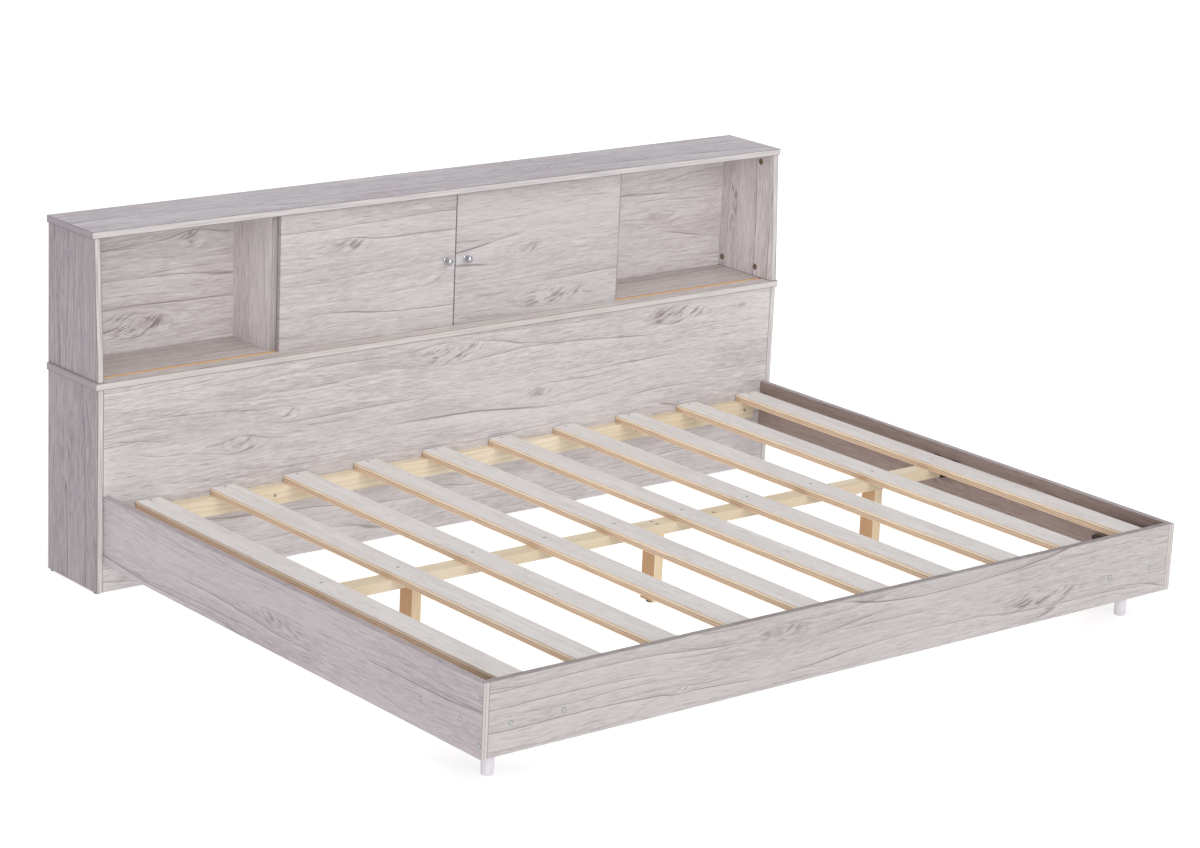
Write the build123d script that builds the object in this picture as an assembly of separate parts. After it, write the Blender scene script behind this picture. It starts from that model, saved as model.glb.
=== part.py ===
from build123d import *
import math
import os

# Bookcase daybed: a platform bed whose long back side is carried by a two-tier bookcase.
# While it is built, X runs along the bed from its middle, Y = 0 is the front face of the
# bookcase with +Y towards the wall, and Z = 0 is the floor. Sizes are in millimetres.
# save() moves every piece so that the origin lies under the middle of the whole object.

# Space for a full-size mattress, 1905 by 1372
bed_inner_length = 1918.0
bed_inner_width = 1375.0

# Laminated board
board = 16.0
edge_cut = 0.8

# Bookcase
case_depth = 211.0
glide_height = 3.0
glide_radius = 7.0
glide_inset = 12.0
lower_height = 467.0
upper_height = 320.0
front_slant = 18.2
end_overhang = 4.5
front_overhang = 2.5
end_bay = 466.0
back_rail_height = 100.0
back_panel = 5.0
back_rebate_lap = 8.0
nail_head_height = 1.0

# Sliding doors, both in one groove
door_thickness = 12.0
door_from_front = 34.5
groove_side_gap = 1.0
groove_foot_gap = 0.3
lower_groove_depth = 4.0
upper_groove_depth = 10.0
door_top_lap = 5.0
door_seam = 3.0
door_divider_lap = 1.0
divider_gap = 0.5
knob_from_middle = 29.0
knob_ball_radius = 8.5
knob_ball_centre = 16.0
knob_neck_radius = 4.25
knob_base_radius = 6.5
knob_base_height = 2.0
knob_ball_rings = 9
knob_ball_sides = 24

# Rails of the bed
rail_height = 156.5
rail_lift = 69.5
fixing_from_bottom = 26.5
fixing_from_top = 32.0

# Pine ledgers and centre beam
slat_bearing_drop = 40.5
ledger_end_gap = 39.0
ledger_thickness = 22.0
ledger_height = 43.0
ledger_screws_each = 6
ledger_screw_margin = 29.0
beam_width = 43.0
beam_height = 23.0
beam_off_middle = 7.5
leg_width = 24.5
first_leg_from_rail = 330.0
last_leg_from_rail = 242.0
leg_count = 3
leg_glide_height = 5.0
leg_glide_radius = 10.0

# Steel hangers at the ends of the beam
hanger_steel = 2.0
hanger_reach = 41.0
hanger_above_beam = 12.5
hanger_flange = 20.0

# Plywood slats
slat_count = 10
slat_width = 63.5
slat_thickness = 18.0
slat_end_gap = 2.0
slat_edge_cut = 1.0
first_slat_from_rail = 98.0
last_slat_from_rail = 50.0
slat_screw_inset = 10.0

# Corner blocks and front feet
corner_block_leg = 202.0
corner_block_tip = 12.0
corner_block_thickness = 20.0
block_screw_near = 70.0
block_screw_far = 200.0
foot_inset = 73.5
foot_bottom_radius = 13.0
foot_rail_radius = 14.5
foot_edge_cut = 3.0

# Fasteners: radii, lengths and the clearance in their holes
hole_gap = 0.2
fit_gap = 0.3
cut_past = 1.0
shank_sides = 6
disc_sides = 12
foot_sides = 24
cam_radius = 7.5
cam_depth = 12.5
cam_from_edge = 24.0
cam_cover_radius = 8.0
cam_cover_height = 1.0
upper_cam_insets = (64.0, 20.0)
lower_cam_insets = (42.0, 44.0)
cam_dowel_radius = 3.5
cam_dowel_bite = 11.0
wood_dowel_radius = 4.0
wood_dowel_in_edge = 20.0
wood_dowel_in_face = 10.0
divider_dowel_insets = (32.0, 36.0)
front_dowel_insets = (175.0, 575.0)
front_dowel_heights = (55.0, 300.0)
back_dowel_drops = (30.0, 70.0)
bolt_radius = 3.0
bolt_head_radius = 6.0
bolt_head_height = 3.0
bolt_past_nut = 8.0
barrel_nut_radius = 5.0
barrel_nut_length = 12.0
barrel_nut_from_end = 21.0
corner_screw = (50.0, 2.8, 5.8)
block_screw = (30.0, 2.4, 5.8)
slat_screw = (36.0, 1.8, 4.0)
ledger_screw = (34.0, 2.0, 4.2)
beam_screw = (55.0, 2.2, 4.5)
beam_screw_spread = 20.0
hanger_screw_length = 13.0
hanger_screw_radius = 2.0
hanger_screw_head = 4.0
hanger_screw_head_height = 1.6
hanger_screw_margin = 9.0
foot_bolt_radius = 4.0
foot_bolt_in_foot = 30.0
foot_bolt_in_block = 17.0
knob_screw_radius = 2.0
knob_screw_head_radius = 4.2
knob_screw_head_height = 2.4
knob_screw_recess = 3.0
knob_screw_in_knob = 8.0
nail_radius = 0.9
nail_length = 15.0
nail_head_radius = 2.5
nail_count = 4

# Places that follow from the sizes
rail_outer_x = bed_inner_length / 2 + board
rail_inner_x = bed_inner_length / 2
side_inner_x = rail_outer_x
side_outer_x = side_inner_x + board
shelf_end_x = side_outer_x + end_overhang
lower_top = glide_height + lower_height
mid_top = lower_top + board
upper_top = mid_top + upper_height
case_top = upper_top + board
rail_top = rail_lift + rail_height
front_inner_y = -bed_inner_width
front_outer_y = front_inner_y - board
back_panel_back_y = case_depth - nail_head_height
back_panel_front_y = back_panel_back_y - back_panel
back_rail_front_y = case_depth - board
groove_y = (door_from_front - groove_side_gap, door_from_front + door_thickness + groove_side_gap)
divider_front_y = groove_y[1] + divider_gap
divider_inner_x = side_inner_x - end_bay - board
divider_middle_x = divider_inner_x + board / 2
fixing_heights = (rail_lift + fixing_from_bottom, rail_top - fixing_from_top)
slat_bearing_height = rail_top - slat_bearing_drop
beam_y = beam_off_middle - bed_inner_width / 2
beam_bottom = slat_bearing_height - beam_height
ledger_bottom = slat_bearing_height - ledger_height
slat_top = slat_bearing_height + slat_thickness
hanger_top = slat_bearing_height + hanger_above_beam
slat_screw_back_y = -slat_end_gap - slat_screw_inset
slat_screw_front_y = front_inner_y + slat_end_gap + slat_screw_inset
nail_low_row = mid_top - back_rebate_lap / 2
nail_high_row = upper_top + back_rebate_lap / 2
corner_block_bottom = ledger_bottom - corner_block_thickness
block_screw_height = ledger_bottom - corner_block_thickness / 2
middle_y = (front_outer_y + case_depth) / 2

# Rows of cam locks: their insets, the edge that the dowel crosses and which way it goes
cam_rows = {
    "lower": (lower_cam_insets, lower_top, 1),
    "foot": (upper_cam_insets, mid_top, -1),
    "head": (upper_cam_insets, upper_top, 1),
}
upper_cam_rows = ("foot", "head")


def block(x, y, z):
    """Box between the low and the high value on each axis."""
    solid = Box(x[1] - x[0], y[1] - y[0], z[1] - z[0])
    return Pos((x[0] + x[1]) / 2, (y[0] + y[1]) / 2, (z[0] + z[1]) / 2) * solid


def both_ways(x):
    """The span from -x to +x."""
    return (-x, x)


def around(middle, width):
    """The span of a width centred on a place."""
    return (middle - width / 2, middle + width / 2)


def ease(piece, along, facing, end):
    """Break the edges that run along one axis on the first (0) or last (-1) face of another."""
    edges = piece.edges().filter_by(along).group_by(facing)[end]
    return chamfer(edges, edge_cut)


def other_side(piece):
    """The same piece on the left of the bed."""
    return mirror(piece, about=Plane.YZ)


def both_sides(places_and_shapes):
    """Each shape of the right side followed by its mirror image."""
    return places_and_shapes + [other_side(shape) for shape in places_and_shapes]


def drill(piece, cutters):
    """Cut every hole out of a piece."""
    return piece - cutters


def disc(radius, length):
    """Small round part from the XY plane up, with few faces because many are used."""
    return extrude(RegularPolygon(radius, disc_sides), length)


def pin(radius, length):
    """Thin shank from the XY plane up, with even fewer faces."""
    return extrude(RegularPolygon(radius, shank_sides), length)


def flat_head_screw(size, gap=0.0):
    """Screw with its flat head at Z = 0 and its tip down; a gap widens it into its hole."""
    length, shank_radius, head_radius = size
    top = RegularPolygon(head_radius + gap, shank_sides)
    neck = Pos(0, 0, shank_radius - head_radius) * RegularPolygon(shank_radius + gap, shank_sides)
    head = loft([neck, top], ruled=True)
    shank = Pos(0, 0, -length - gap) * pin(shank_radius + gap, length + gap + shank_radius - head_radius)
    return head + shank


def flat_head_hole(size):
    """Room for a flat-head screw, open above its head."""
    head_radius = size[2]
    return flat_head_screw(size, hole_gap) + pin(head_radius + hole_gap, cut_past)


# Where the fasteners of the bookcase go, on the right side


def cam_spots(rows):
    """Depth, edge height and direction of the dowel, for the cam locks of some rows."""
    spots = []
    for row in rows:
        (front_inset, back_inset), edge, way = cam_rows[row]
        spots += [(y, edge, way) for y in (front_inset, case_depth - back_inset)]
    return spots


def cam_discs(rows, gap=0.0):
    """Cam locks let into the inner faces of the side boards."""
    lock = Rot(0, 90, 0) * disc(cam_radius + gap, cam_depth + gap)
    return [Pos(side_inner_x, y, edge - way * cam_from_edge) * lock for y, edge, way in cam_spots(rows)]


def cam_cover_discs():
    """Caps on the cam locks that can be seen, those of the upper side boards."""
    cap = Rot(0, -90, 0) * disc(cam_cover_radius, cam_cover_height)
    spots = cam_spots(upper_cam_rows)
    return [Pos(side_inner_x, y, edge - way * cam_from_edge) * cap for y, edge, way in spots]


def cam_dowel_pins(rows, gap=0.0):
    """Dowels from the rim of each cam lock into the shelf above or below it."""
    inside = cam_from_edge - cam_radius - fit_gap
    length = inside + cam_dowel_bite + 2 * gap
    x = side_inner_x + board / 2
    pins = []
    for y, edge, way in cam_spots(rows):
        low = edge - inside if way > 0 else edge - cam_dowel_bite
        pins.append(Pos(x, y, low - gap) * pin(cam_dowel_radius + gap, length))
    return pins


def dowel_pin(gap):
    """Wood dowel with its edge end up and its face end down, split at Z = 0."""
    length = wood_dowel_in_edge + wood_dowel_in_face + 2 * gap
    return Pos(0, 0, -wood_dowel_in_face - gap) * pin(wood_dowel_radius + gap, length)


def divider_dowel_depths():
    front_inset, back_inset = divider_dowel_insets
    return (divider_front_y + front_inset, back_panel_front_y - back_inset)


def divider_foot_pins(gap=0.0):
    """Dowels from the middle board up into the right divider."""
    return [Pos(divider_middle_x, y, mid_top) * dowel_pin(gap) for y in divider_dowel_depths()]


def divider_head_pins(gap=0.0):
    """Dowels from the top board down into the right divider."""
    turned_pin = Rot(180, 0, 0) * dowel_pin(gap)
    return [Pos(divider_middle_x, y, upper_top) * turned_pin for y in divider_dowel_depths()]


def front_panel_top_pins(gap=0.0):
    """Dowels from the top edge of the front panel into the middle board, right half."""
    turned_pin = Rot(180, 0, 0) * dowel_pin(gap)
    return [Pos(side_inner_x - inset, board / 2, lower_top) * turned_pin for inset in front_dowel_insets]


def front_panel_end_pins(gap=0.0):
    """Dowels from the right end of the front panel into the side board."""
    turned_pin = Rot(0, -90, 0) * dowel_pin(gap)
    return [Pos(side_inner_x, board / 2, z) * turned_pin for z in front_dowel_heights]


def back_rail_end_pins(gap=0.0):
    """Dowels from the right end of the back rail into the side board."""
    turned_pin = Rot(0, -90, 0) * dowel_pin(gap)
    y = case_depth - board / 2
    return [Pos(side_inner_x, y, lower_top - drop) * turned_pin for drop in back_dowel_drops]


def nail_places(height):
    """Nails through the back panel along one row."""
    span = 2 * side_inner_x - 2 * board
    step = span / (nail_count - 1)
    spots = [step * i - span / 2 for i in range(nail_count)]
    return [Pos(x, back_panel_back_y, height) * Rot(-90, 0, 0) for x in spots]


def nail(gap=0.0):
    """Nail with its head above the XY plane and its shank below."""
    shank = Pos(0, 0, -nail_length - gap) * pin(nail_radius + gap, nail_length + gap)
    return shank + pin(nail_head_radius, nail_head_height)


# Where the fasteners of the bed go, on the right side


def rail_bolt(gap=0.0):
    """Bolt along -Y from behind the front panel into the barrel nut, with its head at +Y."""
    reach = board + barrel_nut_from_end + bolt_past_nut
    shank = Rot(90, 0, 0) * pin(bolt_radius + gap, reach + gap)
    head = Rot(-90, 0, 0) * disc(bolt_head_radius, bolt_head_height)
    return shank if gap else shank + head


def rail_bolt_places():
    x = rail_inner_x + board / 2
    return [Pos(x, board, z) for z in fixing_heights]


def barrel_nut_bars(gap=0.0):
    """Barrel nuts let into the inner face of the side rail, across the bolts."""
    sunk = (board - barrel_nut_length) / 4
    start = rail_inner_x if gap else rail_inner_x + sunk
    length = barrel_nut_length + gap + (sunk if gap else 0)
    bar = Rot(0, 90, 0) * disc(barrel_nut_radius + gap, length)
    return [Pos(start, -barrel_nut_from_end, z) * bar for z in fixing_heights]


def corner_screw_places():
    """Screws through the end of the side rail into the end of the front rail."""
    y = front_inner_y - board / 2
    return [Pos(rail_outer_x, y, z) * Rot(0, 90, 0) for z in fixing_heights]


def side_block_screw_places():
    """Screws through the side rail into the corner block."""
    depths = (front_outer_y + block_screw_near, front_outer_y + block_screw_far)
    return [Pos(rail_outer_x, y, block_screw_height) * Rot(0, 90, 0) for y in depths]


def front_block_screw_places():
    """Screws through the front rail into the corner block."""
    spots = (rail_outer_x - block_screw_near, rail_outer_x - block_screw_far)
    return [Pos(x, front_outer_y, block_screw_height) * Rot(90, 0, 0) for x in spots]


def ledger_screw_places():
    """Screws through the back ledger into the front panel of the bookcase."""
    span = 2 * (rail_inner_x - ledger_end_gap - ledger_screw_margin)
    step = span / (ledger_screws_each - 1)
    z = ledger_bottom + ledger_height / 2
    spots = [step * i - span / 2 for i in range(ledger_screws_each)]
    return [Pos(x, -ledger_thickness, z) * Rot(90, 0, 0) for x in spots]


def front_ledger_screw_places():
    """The same row through the front ledger into the front rail."""
    y = front_inner_y + ledger_thickness
    return [Pos(place.position.X, y, place.position.Z) * Rot(-90, 0, 0) for place in ledger_screw_places()]


def spread(number, count, first_from_rail, last_from_rail):
    """X of one of a row of pieces, counted from 0 at the left and evenly spaced."""
    first = first_from_rail - rail_inner_x
    last = rail_inner_x - last_from_rail
    return first + number * (last - first) / (count - 1)


def slat_middle_x(number):
    return spread(number, slat_count, first_slat_from_rail, last_slat_from_rail)


def slat_screw_depths():
    """Y of the screws in a slat: back end, over the beam, front end."""
    return (slat_screw_back_y, beam_y, slat_screw_front_y)


def slat_screw_places(y):
    return [Pos(slat_middle_x(i), y, slat_top) for i in range(slat_count)]


def leg_middle_x(number):
    return spread(number, leg_count, first_leg_from_rail, last_leg_from_rail)


def leg_screw_places(number):
    """Two screws from the top of the beam into a leg."""
    x = leg_middle_x(number)
    return [Pos(x, beam_y + side * beam_screw_spread / 2, slat_bearing_height) for side in (-1, 1)]


def all_leg_screw_places():
    return [place for number in range(leg_count) for place in leg_screw_places(number)]


def hanger_outer_half():
    """Half the width over the cheeks of a hanger."""
    return beam_width / 2 + fit_gap + hanger_steel


def hanger_floor_bottom():
    return beam_bottom - fit_gap - hanger_steel


def hanger_screw_places():
    """Two screws in each flange of the right hanger, with their heads on its face."""
    x = rail_inner_x - hanger_steel
    offset = hanger_outer_half() + hanger_flange / 2
    heights = (hanger_floor_bottom() + hanger_screw_margin, hanger_top - hanger_screw_margin)
    return [Pos(x, beam_y + side * offset, z) * Rot(0, 90, 0) for side in (-1, 1) for z in heights]


def hanger_screw(gap=0.0):
    """Round-head screw along +Z with its head below the XY plane."""
    shank = pin(hanger_screw_radius + gap, hanger_screw_length + gap)
    head = Pos(0, 0, -hanger_screw_head_height) * pin(hanger_screw_head, hanger_screw_head_height)
    return shank if gap else shank + head


def foot_spot():
    """Middle of the right front foot."""
    return (rail_outer_x - foot_inset, front_outer_y + foot_inset)


def foot_bolt(gap=0.0):
    """Stud that joins the right foot to its corner block."""
    x, y = foot_spot()
    length = foot_bolt_in_foot + foot_bolt_in_block + 2 * gap
    low = corner_block_bottom - foot_bolt_in_foot - gap
    return Pos(x, y, low) * pin(foot_bolt_radius + gap, length)


def knob_place():
    """On the front face of the right door, with +Z towards the room."""
    return Pos(knob_from_middle, door_from_front, mid_top + upper_height / 2) * Rot(90, 0, 0)


# Pieces of the bookcase


def back_panel_room():
    """The rebate round the open back of the upper tier."""
    half = side_inner_x + back_rebate_lap
    heights = (mid_top - back_rebate_lap, upper_top + back_rebate_lap)
    return block(both_ways(half), (back_panel_front_y, case_depth + cut_past), heights)


def lower_side():
    side = block((side_inner_x, side_outer_x), (0, case_depth), (glide_height, lower_top))
    side = ease(side, Axis.Z, Axis.Y, 0)
    holes = cam_discs(["lower"], hole_gap) + cam_dowel_pins(["lower"], hole_gap)
    return drill(side, holes + front_panel_end_pins(hole_gap) + back_rail_end_pins(hole_gap))


def lower_front_panel():
    panel = block(both_ways(side_inner_x), (0, board), (glide_height, lower_top))
    dowels = both_sides(front_panel_end_pins(hole_gap) + front_panel_top_pins(hole_gap))
    bolts = both_sides([place * rail_bolt(hole_gap) for place in rail_bolt_places()])
    screws = [place * flat_head_hole(ledger_screw) for place in ledger_screw_places()]
    return drill(panel, dowels + bolts + screws)


def lower_back_rail():
    heights = (lower_top - back_rail_height, lower_top)
    rail = block(both_ways(side_inner_x), (back_rail_front_y, case_depth), heights)
    return drill(rail, both_sides(back_rail_end_pins(hole_gap)))


def lower_centre_support():
    return block(around(0, board), (board, back_rail_front_y), (glide_height, lower_top))


def case_glides():
    """Two plastic glides under each side board and two under the centre support."""
    glide = disc(glide_radius, glide_height)
    side_x = side_inner_x + board / 2
    side_depths = (glide_inset, case_depth - glide_inset)
    support_depths = (board + glide_inset, back_rail_front_y - glide_inset)
    spots = [(x, y) for x in (-side_x, side_x) for y in side_depths]
    spots += [(0, y) for y in support_depths]
    return [Pos(x, y, 0) * glide for x, y in spots]


def shelf(front_y, bottom, top):
    """Long board over the whole case, with its front and end edges eased."""
    body = block(both_ways(shelf_end_x), (front_y, case_depth), (bottom, top))
    body = ease(body, Axis.X, Axis.Y, 0)
    return body - back_panel_room()


def mid_board():
    body = shelf(-front_overhang, lower_top, mid_top)
    body -= block(both_ways(side_inner_x), groove_y, (mid_top - lower_groove_depth, mid_top + cut_past))
    pins = cam_dowel_pins(["lower", "foot"], hole_gap) + divider_foot_pins(hole_gap)
    pins += front_panel_top_pins(hole_gap)
    return drill(body, both_sides(pins) + nail_cutters(nail_low_row))


def top_board():
    body = shelf(front_slant - front_overhang, upper_top, case_top)
    body -= block(both_ways(side_inner_x), groove_y, (upper_top - cut_past, upper_top + upper_groove_depth))
    pins = cam_dowel_pins(["head"], hole_gap) + divider_head_pins(hole_gap)
    return drill(body, both_sides(pins) + nail_cutters(nail_high_row))


def nail_cutters(height):
    """Holes of one row of nails."""
    return [place * nail(hole_gap) for place in nail_places(height)]


def upper_side():
    """Side board whose front edge leans back towards the top board."""
    corners = [(0, mid_top), (case_depth, mid_top), (case_depth, upper_top), (front_slant, upper_top)]
    outline = Plane.YZ.offset(side_inner_x) * Polyline(*corners, close=True)
    side = extrude(make_face(outline), board)
    side -= back_panel_room()
    holes = cam_discs(upper_cam_rows, hole_gap) + cam_dowel_pins(upper_cam_rows, hole_gap)
    return drill(side, holes)


def divider():
    spans = (divider_front_y, back_panel_front_y), (mid_top, upper_top)
    body = block((divider_inner_x, divider_inner_x + board), *spans)
    body = ease(body, Axis.Z, Axis.Y, 0)
    return drill(body, divider_foot_pins(hole_gap) + divider_head_pins(hole_gap))


def upper_back_panel():
    half = side_inner_x + back_rebate_lap - fit_gap
    heights = (mid_top - back_rebate_lap + fit_gap, upper_top + back_rebate_lap - fit_gap)
    panel = block(both_ways(half), (back_panel_front_y, back_panel_back_y), heights)
    return drill(panel, nail_cutters(nail_low_row) + nail_cutters(nail_high_row))


# Doors and knobs


def door():
    """Right door, from the seam to just past the inner face of its divider."""
    x = (door_seam / 2, divider_inner_x + door_divider_lap)
    y = (door_from_front, door_from_front + door_thickness)
    z = (mid_top - lower_groove_depth + groove_foot_gap, upper_top + door_top_lap)
    body = block(x, y, z)
    body = ease(body, Axis.Z, Axis.Y, 0)
    return drill(body, [knob_place() * knob_screw(hole_gap)])


def knob_ball():
    """Ball about the origin, made of rings with flat sides so that it has few faces."""
    rings = []
    for number in range(knob_ball_rings):
        tilt = math.pi * (number + 0.5) / knob_ball_rings
        ring = RegularPolygon(knob_ball_radius * math.sin(tilt), knob_ball_sides)
        rings.append(Pos(0, 0, -knob_ball_radius * math.cos(tilt)) * ring)
    return loft(rings, ruled=True)


def knob():
    """Ball knob with a neck and a small foot, tapped for its screw."""
    body = Pos(0, 0, knob_ball_centre) * knob_ball()
    body += disc(knob_neck_radius, knob_ball_centre)
    body += disc(knob_base_radius, knob_base_height)
    body -= pin(knob_screw_radius + hole_gap, knob_screw_in_knob + hole_gap)
    return knob_place() * body


def knob_screw(gap=0.0):
    """Screw from the back of the door into the knob, its head sunk in the door."""
    back = -door_thickness
    head_bottom = back + knob_screw_recess
    shank = Pos(0, 0, head_bottom) * pin(knob_screw_radius + gap, knob_screw_in_knob - head_bottom)
    if gap:
        return shank + Pos(0, 0, back) * disc(knob_screw_head_radius + gap, knob_screw_recess)
    head_low = head_bottom - knob_screw_head_height
    return shank + Pos(0, 0, head_low) * disc(knob_screw_head_radius, knob_screw_head_height)


# Pieces of the bed frame


def side_rail():
    rail = block((rail_inner_x, rail_outer_x), (front_outer_y, 0), (rail_lift, rail_top))
    rail = ease(rail, Axis.Y, Axis.Z, -1)
    bolts = [place * rail_bolt(hole_gap) for place in rail_bolt_places()]
    corner = [place * flat_head_hole(corner_screw) for place in corner_screw_places()]
    blocks = [place * flat_head_hole(block_screw) for place in side_block_screw_places()]
    hangers = [place * hanger_screw(hole_gap) for place in hanger_screw_places()]
    return drill(rail, bolts + barrel_nut_bars(hole_gap) + corner + blocks + hangers)


def front_rail():
    rail = block(both_ways(rail_inner_x), (front_outer_y, front_inner_y), (rail_lift, rail_top))
    rail = ease(rail, Axis.X, Axis.Z, -1)
    corner = [place * flat_head_hole(corner_screw) for place in corner_screw_places()]
    blocks = [place * flat_head_hole(block_screw) for place in front_block_screw_places()]
    screws = [place * flat_head_hole(ledger_screw) for place in front_ledger_screw_places()]
    return drill(rail, both_sides(corner + blocks) + screws)


def ledger(y, screw_places, slat_screw_y):
    body = block(both_ways(rail_inner_x - ledger_end_gap), y, (ledger_bottom, slat_bearing_height))
    screws = [place * flat_head_hole(ledger_screw) for place in screw_places]
    slat_holes = [place * flat_head_hole(slat_screw) for place in slat_screw_places(slat_screw_y)]
    return drill(body, screws + slat_holes)


def back_ledger():
    return ledger((-ledger_thickness, 0), ledger_screw_places(), slat_screw_back_y)


def front_ledger():
    y = (front_inner_y, front_inner_y + ledger_thickness)
    return ledger(y, front_ledger_screw_places(), slat_screw_front_y)


def centre_beam():
    beam = block(both_ways(rail_inner_x), around(beam_y, beam_width), (beam_bottom, slat_bearing_height))
    leg_holes = [place * flat_head_hole(beam_screw) for place in all_leg_screw_places()]
    slat_holes = [place * flat_head_hole(slat_screw) for place in slat_screw_places(beam_y)]
    return drill(beam, leg_holes + slat_holes)


def beam_hanger():
    """Folded steel shoe: a floor and two cheeks round the beam, and two flanges on the rail."""
    outer = hanger_outer_half()
    bottom = hanger_floor_bottom()
    x = (rail_inner_x - hanger_reach, rail_inner_x)
    shoe = block(x, around(beam_y, 2 * outer), (bottom, hanger_top))
    hollow = around(beam_y, 2 * (outer - hanger_steel))
    shoe -= block((x[0] - cut_past, x[1] + cut_past), hollow, (bottom + hanger_steel, hanger_top + cut_past))
    slope = [
        (x[0], beam_bottom + beam_height / 2),
        (x[0] + hanger_reach / 2, slat_bearing_height - fit_gap),
        (x[1] - hanger_steel, slat_bearing_height - fit_gap),
        (x[1] - hanger_steel, hanger_top),
        (x[0], hanger_top),
    ]
    wedge = Plane.XZ.offset(-beam_y - outer - cut_past) * Polyline(*slope, close=True)
    shoe -= extrude(make_face(wedge), 2 * (outer + cut_past))
    for side in (-1, 1):
        flange = around(beam_y + side * (outer + hanger_flange / 2), hanger_flange)
        shoe += block((rail_inner_x - hanger_steel, rail_inner_x), flange, (bottom, hanger_top))
    return drill(shoe, [place * hanger_screw(hole_gap) for place in hanger_screw_places()])


def centre_leg(number):
    x = around(leg_middle_x(number), leg_width)
    leg = block(x, around(beam_y, beam_width), (leg_glide_height, beam_bottom))
    return drill(leg, [place * flat_head_hole(beam_screw) for place in leg_screw_places(number)])


def slat(number):
    x = around(slat_middle_x(number), slat_width)
    y = (front_inner_y + slat_end_gap, -slat_end_gap)
    body = block(x, y, (slat_bearing_height, slat_top))
    body = chamfer(body.edges().filter_by(Axis.Y).group_by(Axis.Z)[-1], slat_edge_cut)
    hole = flat_head_hole(slat_screw)
    return drill(body, [Pos(slat_middle_x(number), depth, slat_top) * hole for depth in slat_screw_depths()])


def corner_block():
    """Three-cornered plate in the right front corner, with its two sharp tips cut off."""
    x = rail_inner_x
    y = front_inner_y
    far = corner_block_leg
    tip = corner_block_tip
    corners = [(x, y), (x, y + far), (x - tip, y + far), (x - far, y + tip), (x - far, y)]
    plate = extrude(make_face(Polyline(*corners, close=True)), corner_block_thickness)
    plate = Pos(0, 0, corner_block_bottom) * plate
    screws = [place * flat_head_hole(block_screw) for place in side_block_screw_places()]
    screws += [place * flat_head_hole(block_screw) for place in front_block_screw_places()]
    return drill(plate, screws + [foot_bolt(hole_gap)])


def front_foot():
    """Turned foot that widens upwards, from the floor to the corner block."""
    spread = (foot_rail_radius - foot_bottom_radius) / rail_lift
    radius_at = {
        0: foot_bottom_radius - foot_edge_cut,
        foot_edge_cut: foot_bottom_radius + spread * foot_edge_cut,
        corner_block_bottom: foot_bottom_radius + spread * corner_block_bottom,
    }
    rings = [Pos(0, 0, z) * RegularPolygon(radius, foot_sides) for z, radius in radius_at.items()]
    body = loft(rings, ruled=True)
    x, y = foot_spot()
    return Pos(x, y, 0) * body - foot_bolt(hole_gap)


# Fastener groups


def barrel_nuts():
    """Barrel nuts with the cross hole that the bolt runs through."""
    bolts = [place * rail_bolt(hole_gap) for place in rail_bolt_places()]
    return [drill(bar, bolts) for bar in barrel_nut_bars()]


def slat_screws():
    places = [place for y in slat_screw_depths() for place in slat_screw_places(y)]
    return [place * flat_head_screw(slat_screw) for place in places]


def ledger_screws():
    places = ledger_screw_places() + front_ledger_screw_places()
    return [place * flat_head_screw(ledger_screw) for place in places]


def wood_dowels():
    right = divider_foot_pins() + divider_head_pins() + front_panel_top_pins()
    right += front_panel_end_pins() + back_rail_end_pins()
    return both_sides(right)


def beam_screws():
    return [place * flat_head_screw(beam_screw) for place in all_leg_screw_places()]


def corner_block_screws():
    places = side_block_screw_places() + front_block_screw_places()
    return both_sides([place * flat_head_screw(block_screw) for place in places])


# Writing the pieces


def save(name, piece):
    """Write one piece or a group of separate pieces, with the origin under the object's middle."""
    shape = Compound(children=piece) if isinstance(piece, list) else piece
    export_step(Pos(0, -middle_y, 0) * shape, f"parts/{name}.step")


def save_pair(name, piece):
    """Write a piece of the right side and its mirror image."""
    save(f"{name}_right", piece)
    save(f"{name}_left", other_side(piece))


os.makedirs("parts", exist_ok=True)

save_pair("lower_side", lower_side())
save("lower_front_panel", lower_front_panel())
save("lower_back_rail", lower_back_rail())
save("lower_centre_support", lower_centre_support())
save("case_glides", case_glides())
save("mid_board", mid_board())
save_pair("upper_side", upper_side())
save_pair("divider", divider())
save("upper_back_panel", upper_back_panel())
save("top_board", top_board())

save_pair("door", door())
save_pair("knob", knob())
save_pair("knob_screw", knob_place() * knob_screw())

save_pair("side_rail", side_rail())
save("front_rail", front_rail())
save("back_ledger", back_ledger())
save("front_ledger", front_ledger())
save("centre_beam", centre_beam())
save_pair("beam_hanger", beam_hanger())
for number in range(leg_count):
    save(f"centre_leg_{number + 1}", centre_leg(number))
leg_glide = disc(leg_glide_radius, leg_glide_height)
save("centre_leg_glides", [Pos(leg_middle_x(i), beam_y, 0) * leg_glide for i in range(leg_count)])
for number in range(slat_count):
    save(f"slat_{number + 1:02d}", slat(number))
save_pair("corner_block", corner_block())
save_pair("front_foot", front_foot())

save("cam_locks", both_sides(cam_discs(cam_rows)))
save("cam_covers", both_sides(cam_cover_discs()))
save("cam_dowels", both_sides(cam_dowel_pins(cam_rows)))
save("wood_dowels", wood_dowels())
nail_spots = nail_places(nail_low_row) + nail_places(nail_high_row)
save("back_panel_nails", [place * nail() for place in nail_spots])
save("rail_bolts", both_sides([place * rail_bolt() for place in rail_bolt_places()]))
save("barrel_nuts", both_sides(barrel_nuts()))
save("corner_screws", both_sides([place * flat_head_screw(corner_screw) for place in corner_screw_places()]))
save("corner_block_screws", corner_block_screws())
save("slat_screws", slat_screws())
save("ledger_screws", ledger_screws())
save("beam_screws", beam_screws())
save("hanger_screws", both_sides([place * hanger_screw() for place in hanger_screw_places()]))
save("foot_bolts", both_sides([foot_bolt()]))
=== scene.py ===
import math

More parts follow.
